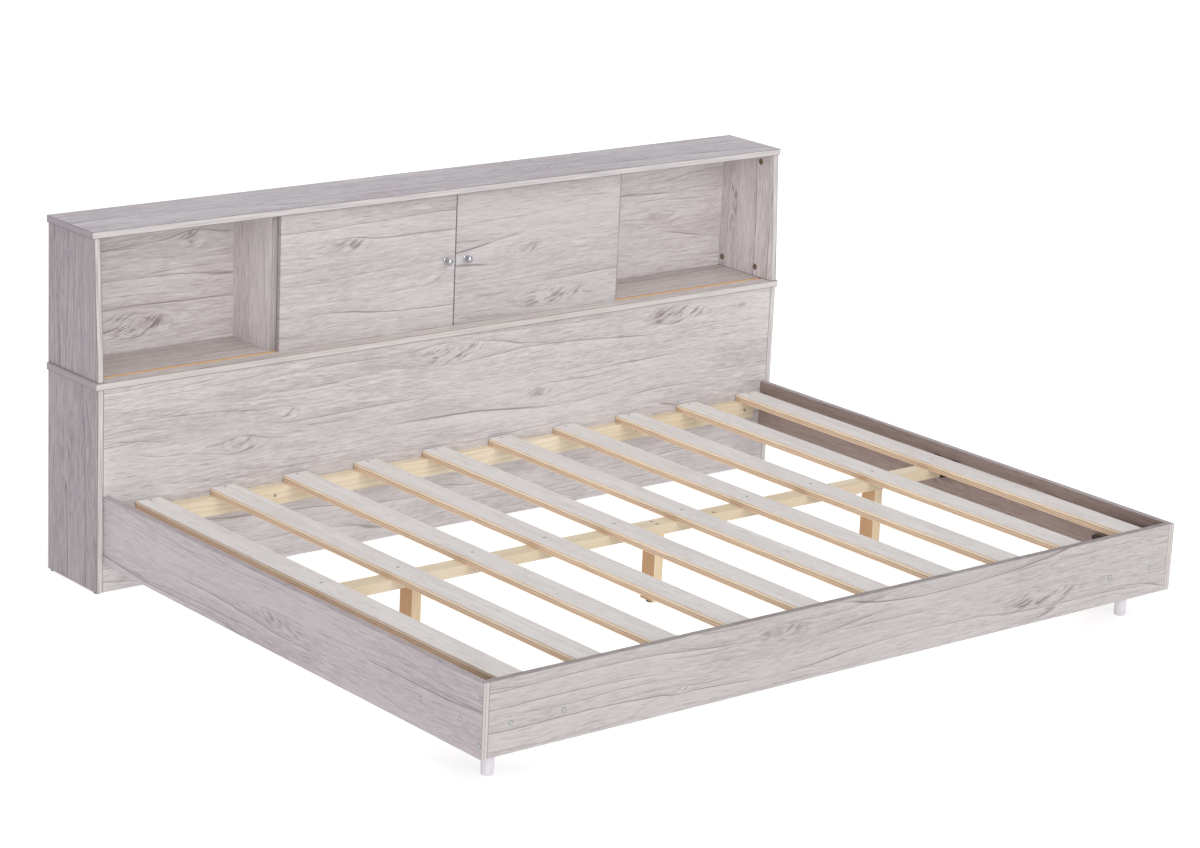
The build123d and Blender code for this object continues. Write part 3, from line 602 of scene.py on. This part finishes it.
board("lower_front_panel", along_x_front, front_tones, shift=(0.0, 0.0), knots=front_knots)
board("door_left", along_x_front, front_tones, shift=(3.1, 1.7), knots=left_door_knots,
      contrast=0.8)
board("door_right", along_x_front, right_door_tones, shift=(5.3, 2.9), knots=right_door_knots,
      contrast=0.8)
board("upper_back_panel", along_x_front, lit_back_tones, shift=(8.2, 0.4), knots=back_knots,
      contrast=0.85)
board("front_rail", along_x_front, rail_front_tones, shift=(11.4, 3.3), knots=front_rail_knots,
      cap=0.45, contrast=0.8)
banded = {"edge_axes": (Y,), "edge_colour": band_colour}
shelf_band = {"edge_axes": (X, Y), "edge_colour": band_colour, "end_colour": shaded_end_band,
              "joint_axis": Z}
board("mid_board", along_x_flat, shelf_tones, shift=(14.7, 0.0),
      groove=(shelf_low.z, shelf_high.z - groove_lip), **shelf_band)
board("top_board", along_x_flat, top_tones, shift=(17.9, 0.6), knots=top_knots,
      groove=(top_low.z + groove_lip, top_low.z + top_groove_depth), **shelf_band)
for number, (node, knots) in enumerate((
        ("lower_side_left", side_knots), ("lower_side_right", ()))):
    board(node, upright_side, shaded_side_tones, shift=(21.3 + 3.1 * number, 0.0), knots=knots,
          joint_axis=X, **banded)
for number, (node, inner, knots) in enumerate((
        ("upper_side_left", None, ()),
        ("upper_side_right", (-1, lit_bay_side_tones), upper_right_knots))):
    board(node, upright_side, shaded_side_tones, shift=(27.9 + 3.1 * number, 0.0), knots=knots,
          joint_axis=X, foot_seam=0.8, inner=inner, **banded)
for number, side in enumerate(("left", "right")):
    board("divider_" + side, upright_side, lit_bay_side_tones, shift=(34.1 + 3.1 * number, 0.0),
          joint_axis=X, edge_axes=(Y,), edge_colour=divider_edge_shade, contrast=0.7)
    board("side_rail_" + side, along_y_upright, rail_side_tones, shift=(41.5 + 2.8 * number, 0.0),
          knots=rail_knots, joint_axis=X, cap=0.35, contrast=0.75, edge_axes=(Y,),
          edge_colour=rail_band, core_line=0.6,
          inner=(-1, rail_inner_tones) if side == "right" else None)

pine_tones = tones((217, 205, 184), (207, 191, 165), (180, 152, 118), top_light)
leg_tones = tones((226, 211, 182), (214, 190, 154), (188, 150, 110), top_light)
# Darker reddish tan for the legs' X faces: painted shade.
leg_side_shade = linear(176, 126, 86, side_light)
along_x_pine = (X, Y, Z)
along_z_pine = (Z, X, Y)
paint("back_ledger", pine("pine_back_ledger", along_x_pine, *pine_tones, shift=(0.3, 0.11)))
paint("front_ledger", pine("pine_front_ledger", along_x_pine, *pine_tones, shift=(4.3, 0.27)))
paint("centre_beam", pine("pine_centre_beam", along_x_pine, *pine_tones, shift=(7.1, 0.05),
                          knots=((-0.62, -0.085, 0.007), (0.21, -0.096, 0.006))))
for number in range(1, 4):
    paint(f"centre_leg_{number}", pine(f"pine_leg_{number}", along_z_pine, *leg_tones,
                                       shift=(1.7 * number, 0.31 * number), side_shade_tone=leg_side_shade))
for number in range(1, 11):
    slat_name = f"slat_{number:02d}"
    slat_low, slat_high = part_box(slat_name)
    paint(slat_name, slat_ply("ply_" + slat_name, slat_low, slat_high, 1.37 * number))

core_board = speckled("core_board", linear(190, 158, 122), linear(158, 126, 92), 1400.0)
paint("lower_back_rail", core_board)
paint("lower_centre_support", core_board)
# Corner blocks: a dark purple-grey that stands for the shade in the corner pocket: painted shade.
shaded_corner_block = speckled("corner_block_shade", linear(104, 92, 94), linear(72, 62, 64), 1100.0)
for side in ("left", "right"):
    paint("corner_block_" + side, shaded_corner_block)
black_steel = speckled("black_steel", linear(44, 44, 46), linear(26, 26, 28), 2200.0,
                       rough=(0.42, 0.55), depth=0.0001, specular=0.5)
for side in ("left", "right"):
    paint("beam_hanger_" + side, black_steel)
beech = speckled("beech_dowel", linear(214, 180, 138), linear(184, 146, 104), 900.0)
paint("wood_dowels", beech)
zinc = speckled("zinc_plate", linear(216, 220, 219), linear(184, 189, 190), 1800.0,
                rough=(0.35, 0.5), depth=0.00004, metal=0.7, specular=0.5)
alloy = speckled("cast_alloy", linear(188, 188, 190), linear(140, 141, 144), 1500.0,
                 rough=(0.38, 0.52), depth=0.0001, metal=1.0, specular=0.5)
chrome = speckled("polished_chrome", linear(188, 190, 195), linear(172, 174, 180), 700.0,
                  rough=(0.05, 0.12), depth=0.00001, metal=1.0, specular=0.5)
cap_brown = speckled("cap_brown", linear(142, 122, 100), linear(112, 94, 76), 1500.0,
                     rough=(0.4, 0.55), depth=0.00008)
black_plastic = speckled("black_plastic", linear(42, 42, 44), linear(24, 24, 26), 1600.0,
                         rough=(0.45, 0.6), depth=0.0001)
pale_plastic = speckled("pale_plastic", linear(226, 222, 214), linear(204, 198, 190), 1500.0,
                        rough=(0.42, 0.55), depth=0.0001)
foot_paint = speckled("foot_paint", linear(226, 221, 226), linear(204, 198, 206), 420.0,
                      rough=(0.38, 0.5), depth=0.00012, stretch=(1.0, 1.0, 0.12))
for name in ("cam_dowels", "rail_bolts", "back_panel_nails", "foot_bolts", "slat_screws",
             "corner_screws", "corner_block_screws", "ledger_screws", "beam_screws",
             "hanger_screws", "knob_screw_left", "knob_screw_right"):
    paint(name, zinc)
for name in ("cam_locks", "barrel_nuts"):
    paint(name, alloy)
paint("cam_covers", cap_brown)
paint("case_glides", pale_plastic)
paint("centre_leg_glides", black_plastic)
for side in ("left", "right"):
    paint("front_foot_" + side, foot_paint)
    paint("knob_" + side, chrome)


# Turned pieces
# Dark colour for the rims of screw heads and the insides of recesses: painted shade.
recess_shade = speckled("screw_rim_and_recess_shade", linear(50, 54, 54), linear(30, 32, 34), 1500.0,
                        rough=(0.7, 0.85), metal=0.0, specular=0.2)


def ring_radius(radius, turn, shape):
    """Radius of one point of a ring that is round, a rim, six-sided, a cross or a slot."""
    if shape == "hex":
        return radius * math.cos(math.pi / 6) / math.cos(turn % (math.pi / 3) - math.pi / 6)
    if shape == "cross":
        return radius * (0.34 + 0.66 * abs(math.cos(2 * turn)) ** 7)
    if shape == "slot":
        return min(radius, 0.2 * radius / max(abs(math.sin(turn)), 0.01))
    return radius


def turned_mesh(profile, segments):
    """Vertices and faces of rings (radius, height, shape) along +Z, closed at both ends."""
    points, faces, rings = [], [], []
    for radius, height, *shape in profile:
        if radius == 0:
            rings.append([len(points)])
            points.append(Vector((0, 0, height)))
            continue
        first = len(points)
        for i in range(segments):
            turn = 2 * math.pi * i / segments
            r = ring_radius(radius, turn, shape[0] if shape else "round")
            points.append(Vector((r * math.cos(turn), r * math.sin(turn), height)))
        rings.append(list(range(first, first + segments)))
    for lower, upper in zip(rings, rings[1:]):
        for i in range(segments):
            j = (i + 1) % segments
            if len(lower) == 1:
                faces.append((lower[0], upper[j], upper[i]))
            elif len(upper) == 1:
                faces.append((lower[i], lower[j], upper[0]))
            else:
                faces.append((lower[i], lower[j], upper[j], upper[i]))
    return points, faces


def in_shade(profile):
    """Bands of a profile that are a rim or the inside of a recess; they get the painted shade."""
    shapes = [point[2] if len(point) > 2 else "round" for point in profile]
    return {i for i in range(len(profile) - 1) if shapes[i] == "rim"
            or shapes[i] != "round" and (shapes[i + 1] != "round" or profile[i + 1][0] == 0)}


# Edges that turn by more than this stay sharp
sharp_turn = math.radians(38)


def turned_piece(name, profile, spots, segments=32):
    """One object that holds a copy of the turned shape at each spot."""
    points, faces = turned_mesh(profile, segments)
    shaded = in_shade(profile)
    all_points, all_faces = [], []
    for matrix in spots:
        start = len(all_points)
        all_points += [matrix @ p for p in points]
        all_faces += [tuple(start + i for i in face) for face in faces]
    mesh = bpy.data.meshes.new(name)
    mesh.from_pydata(all_points, [], all_faces)
    mesh.update()
    # Rim and recess bands take material index 1, the painted shade.
    for polygon in mesh.polygons:
        polygon.use_smooth = True
        polygon.material_index = int(polygon.index % len(faces) // segments in shaded)
    piece = bpy.data.objects.new(name, mesh)
    bpy.context.scene.collection.objects.link(piece)
    shaped = bmesh.new()
    shaped.from_mesh(mesh)
    bmesh.ops.recalc_face_normals(shaped, faces=shaped.faces)
    for edge in shaped.edges:
        edge.smooth = edge.is_manifold and edge.calc_face_angle(0) < sharp_turn
    shaped.to_mesh(mesh)
    shaped.free()
    return piece


def finish_piece(piece, material, slot, body, *stood_for):
    """Give a piece its material and body, and hide the CAD nodes it stands for. slot is not used.
    """
    piece.data.materials.append(material)
    # Rims and recess insides also get recess_shade, the painted shade.
    if any(polygon.material_index for polygon in piece.data.polygons):
        piece.data.materials.append(recess_shade)
    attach(piece, body)
    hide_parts(*stood_for)
    return piece


def aim(place, direction, spin=0.0):
    """Matrix that puts +Z along a direction at a place, turned about it by spin."""
    turn = Vector(direction).to_track_quat("Z", "Y").to_matrix().to_4x4()
    return Matrix.Translation(place) @ turn @ Matrix.Rotation(spin, 4, "Z")


def islands(node):
    """Lowest and highest corner of each separate solid of a CAD node."""
    shaped = bmesh.new()
    shaped.from_mesh(nodes[node].data)
    bmesh.ops.remove_doubles(shaped, verts=shaped.verts, dist=1e-5)
    left, found = set(shaped.verts), []
    while left:
        grown, stack = [], [left.pop()]
        while stack:
            vert = stack.pop()
            grown.append(vert.co.copy())
            others = {edge.other_vert(vert) for edge in vert.link_edges} & left
            left -= others
            stack += others
        low = Vector([min(p[axis] for p in grown) for axis in (X, Y, Z)])
        high = Vector([max(p[axis] for p in grown) for axis in (X, Y, Z)])
        found.append((low, high))
    shaped.free()
    return sorted(found, key=lambda box: [round(value, 4) for value in (*box[0], *box[1])])


def outward(middle, axis):
    """Way along an axis that leads away from the middle of the bed."""
    return 1 if middle[axis] > 0 else -1


def inward(middle, axis):
    """Way along an axis that leads to the middle of the bed."""
    return -outward(middle, axis)


def rising(middle, axis):
    """Way in which the coordinate grows, for any point and axis."""
    return 1


def block_way(middle, axis):
    """Corner block screws start at the outer side of the side rails and of the front rail."""
    return outward(middle, axis) if axis == X else -1


# Turn in radians from one recess of a set to the next
spin_step = 0.7


def head_spots(node, way, axis=None):
    """Place and direction of the outer end of each solid of a node, along its length."""
    spots = []
    for number, (low, high) in enumerate(islands(node)):
        size = high - low
        own = max((X, Y, Z), key=lambda i: size[i]) if axis is None else axis
        middle = (low + high) / 2
        side = way(middle, own)
        middle[own] = high[own] if side > 0 else low[own]
        direction = [0, 0, 0]
        direction[own] = side
        spots.append(aim(middle, direction, spin_step * number))
    return spots


def flat_head(length, shank, head, recess, shape):
    """Countersunk screw whose head ends at Z = 0, with its recess."""
    # The bevel from the rim to the top and the recess take the painted shade.
    return [(0, -length), (shank * 0.4, -length + 0.0015), (shank, -length + 0.006),
            (shank, shank - head - 0.0004), (head - 0.0003, -0.0010), (head, -0.0007),
            (head - 0.0002, -0.0004, "rim"), (head - 0.0017, 0), (recess, -0.0001, shape),
            (recess * 0.85, -recess * 0.9, shape), (0, -recess * 1.1)]


def raised_head(length, shank, head, height, recess, shape):
    """Screw with a head that stands height above what it holds and ends at Z = 0."""
    return [(0, -length), (shank, -length + 0.002), (shank, -height), (head, -height),
            (head, -height * 0.55), (head * 0.9, -height * 0.2), (head * 0.66, 0),
            (recess, 0, shape), (recess * 0.85, -height * 0.7, shape), (0, -height * 0.75)]


# Screws: node, the way its heads look, profile
screw_sets = (
    ("corner_screws", outward, flat_head(0.050, 0.0028, 0.0058, 0.0017, "hex")),
    ("corner_block_screws", block_way, flat_head(0.030, 0.0024, 0.0058, 0.0017, "hex")),
    ("slat_screws", rising, flat_head(0.036, 0.0018, 0.0040, 0.0021, "cross")),
    ("ledger_screws", inward, flat_head(0.034, 0.0020, 0.0042, 0.0022, "cross")),
    ("beam_screws", rising, flat_head(0.055, 0.0022, 0.0045, 0.0024, "cross")),
    ("hanger_screws", inward, raised_head(0.0146, 0.0020, 0.0040, 0.0016, 0.0020, "cross")),
    ("rail_bolts", rising, raised_head(0.0480, 0.0030, 0.0060, 0.0030, 0.0026, "hex")),
    ("back_panel_nails", rising, raised_head(0.0160, 0.0009, 0.0025, 0.0010, 0.0006, "round")),
)
for node, way, profile in screw_sets:
    piece = turned_piece(node + "_turned", profile, head_spots(node, way), 40)
    finish_piece(piece, zinc, "zinc_screw", "frame_and_case", node)

# Caps, cam locks and barrel nuts: rings as in turned_mesh
cap_profile = [(0, -0.001), (0.0080, -0.001), (0.0080, -0.0006), (0.0074, -0.0002), (0.0062, 0),
               (0.0024, 0), (0.0018, -0.0003), (0, -0.0003)]
caps = turned_piece("cam_covers_turned", cap_profile, head_spots("cam_covers", inward, X), 40)
finish_piece(caps, cap_brown, "cam_cap_brown", "frame_and_case", "cam_covers")
lock_profile = [(0, -0.0125), (0.0075, -0.0125), (0.0075, -0.0005), (0.0070, 0),
                (0.0038, 0, "cross"), (0.0032, -0.0045, "cross"), (0, -0.0050)]
locks = turned_piece("cam_locks_turned", lock_profile, head_spots("cam_locks", inward, X), 40)
finish_piece(locks, alloy, "cam_alloy", "frame_and_case", "cam_locks")
nut_profile = [(0, -0.0120), (0.0050, -0.0120), (0.0050, -0.0004), (0.0046, 0),
               (0.0040, 0, "slot"), (0.0038, -0.0018, "slot"), (0, -0.0018)]
nuts = turned_piece("barrel_nuts_turned", nut_profile, head_spots("barrel_nuts", inward, X), 40)
finish_piece(nuts, alloy, "cam_alloy", "frame_and_case", "barrel_nuts")


def foot_profile(radius, height, top_radius):
    """Round foot from the floor up, with a softened lower edge."""
    return [(0, 0), (radius * 0.8, 0), (radius * 0.94, height * 0.008), (radius, height * 0.03),
            (top_radius, height), (0, height)]


def standing_spots(node):
    """Middle of the underside of each solid of a node."""
    return [Matrix.Translation(((low.x + high.x) / 2, (low.y + high.y) / 2, low.z))
            for low, high in islands(node)]


# Front foot: radius at the floor, height, radius at the top
foot_size = (0.0130, 0.1225, 0.01564)
# Glides and feet: node, radius at the floor, height, radius at the top, material, slot
glide_sets = (
    ("centre_leg_glides", (0.0100, 0.0050, 0.0100), black_plastic, "black_plastic"),
    ("case_glides", (0.0070, 0.0030, 0.0070), black_plastic, "black_plastic"),
    ("front_foot_left", foot_size, foot_paint, "pale_plastic"),
    ("front_foot_right", foot_size, foot_paint, "pale_plastic"),
)
for node, sizes, material, slot in glide_sets:
    piece = turned_piece(node + "_turned", foot_profile(*sizes), standing_spots(node), 48)
    finish_piece(piece, material, slot, "frame_and_case", node)

# Knobs: a base plate, a neck, and a ball that starts at neck_share of its half turn
ball_middle, ball_radius, neck_radius = 0.016, 0.0085, 0.0042
knob_profile = [(0, 0), (0.0065, 0), (0.0065, 0.0012), (0.0058, 0.0019),
                (neck_radius + 0.0004, 0.0024), (neck_radius, 0.0032)]
ball_steps = 22
neck_share = 0.165
for step in range(ball_steps + 1):
    tilt = math.pi * (neck_share + (1 - neck_share) * step / ball_steps)
    knob_profile.append((ball_radius * math.sin(tilt) if step < ball_steps else 0,
                         ball_middle - ball_radius * math.cos(tilt)))
knob_screw_profile = raised_head(0.0194, 0.0020, 0.0042, 0.0024, 0.0021, "cross")
for side, body in (("left", "left_door"), ("right", "right_door")):
    low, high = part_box("knob_" + side)
    middle = (low + high) / 2
    spot = aim((middle.x, high.y, middle.z), (0, -1, 0))
    knob = turned_piece("knob_turned_" + side, knob_profile, [spot], 64)
    finish_piece(knob, chrome, "knob_chrome", body, "knob_" + side)
    screw = turned_piece("knob_screw_turned_" + side, knob_screw_profile,
                         head_spots("knob_screw_" + side, rising), 40)
    finish_piece(screw, zinc, "zinc_screw", body, "knob_screw_" + side)


# Floor, light and camera


def sun(name, azimuth, elevation, softness, strength):
    """Distant light. Azimuth 0 comes from the front of the bed and 90 from its left end."""
    data = bpy.data.lights.new(name, "SUN")
    data.energy = strength * math.pi
    data.angle = math.radians(softness)
    lamp = bpy.data.objects.new(name, data)
    across, height = math.radians(azimuth), math.radians(elevation)
    towards = Vector((math.sin(across) * math.cos(height), math.cos(across) * math.cos(height),
                      -math.sin(height)))
    lamp.rotation_euler = towards.to_track_quat("-Z", "Y").to_euler()
    bpy.context.scene.collection.objects.link(lamp)


# Floor: half width, drop under the feet, glow that keeps its shade pale
floor_reach, floor_drop, floor_glow = 40.0, 0.0005, 0.68
world_strength = 0.57


def make_floor():
    """Wide pale floor with a faint unevenness in its colour."""
    material, graph, shader = new_graph("studio_floor")
    spot = places(graph)[0]
    small = graph.noise(graph.vector(graph.mul(spot[X], 3.0), graph.mul(spot[Y], 3.0), 0.0), 2.0)
    graph.feed(shader.inputs["Base Color"],
               graph.mix(small, linear(190, 190, 190), linear(196, 196, 196)))
    shader.inputs["Roughness"].default_value = 0.9
    shader.inputs["Specular IOR Level"].default_value = 0.1
    shader.inputs["Emission Color"].default_value = (1.0, 1.0, 1.0, 1.0)
    shader.inputs["Emission Strength"].default_value = floor_glow
    mesh = bpy.data.meshes.new("studio_floor")
    corners = [(x * floor_reach, y * floor_reach, -floor_drop)
               for x, y in ((-1, -1), (1, -1), (1, 1), (-1, 1))]
    mesh.from_pydata(corners, [], [(0, 1, 2, 3)])
    mesh.materials.append(material)
    floor = bpy.data.objects.new("studio_floor", mesh)
    bpy.context.scene.collection.objects.link(floor)


make_floor()
world = bpy.data.worlds.new("studio")
bpy.context.scene.world = world
world.use_nodes = True
backdrop = world.node_tree.nodes["Background"]
backdrop.inputs["Color"].default_value = (1.0, 1.0, 1.0, 1.0)
backdrop.inputs["Strength"].default_value = world_strength
# Suns: name, azimuth, elevation and softness in degrees, strength
for row in (("front", 18, 20, 40, 0.37), ("above", -10, 68, 50, 0.40)):
    sun(*row)
settings = bpy.context.scene.view_settings
settings.view_transform = "Standard"
settings.look = "None"

camera_data = bpy.data.cameras.new("photo_camera")
camera_data.sensor_fit = "HORIZONTAL"
camera_data.sensor_width = sensor_width
camera_data.lens = sensor_width * focal_in_pixels / photo_width
camera = bpy.data.objects.new("photo_camera", camera_data)
turn = Matrix.Rotation(camera_yaw, 3, "Z") @ Matrix.Rotation(camera_pitch, 3, "X")
turn = turn @ Matrix.Rotation(camera_roll, 3, "Y")
right, forward, up = turn.col[0], turn.col[1], turn.col[2]
facing_matrix = Matrix((right, up, -forward)).transposed().to_4x4()
camera.matrix_world = Matrix.Translation(camera_place) @ facing_matrix
bpy.context.scene.collection.objects.link(camera)
bpy.context.scene.camera = camera
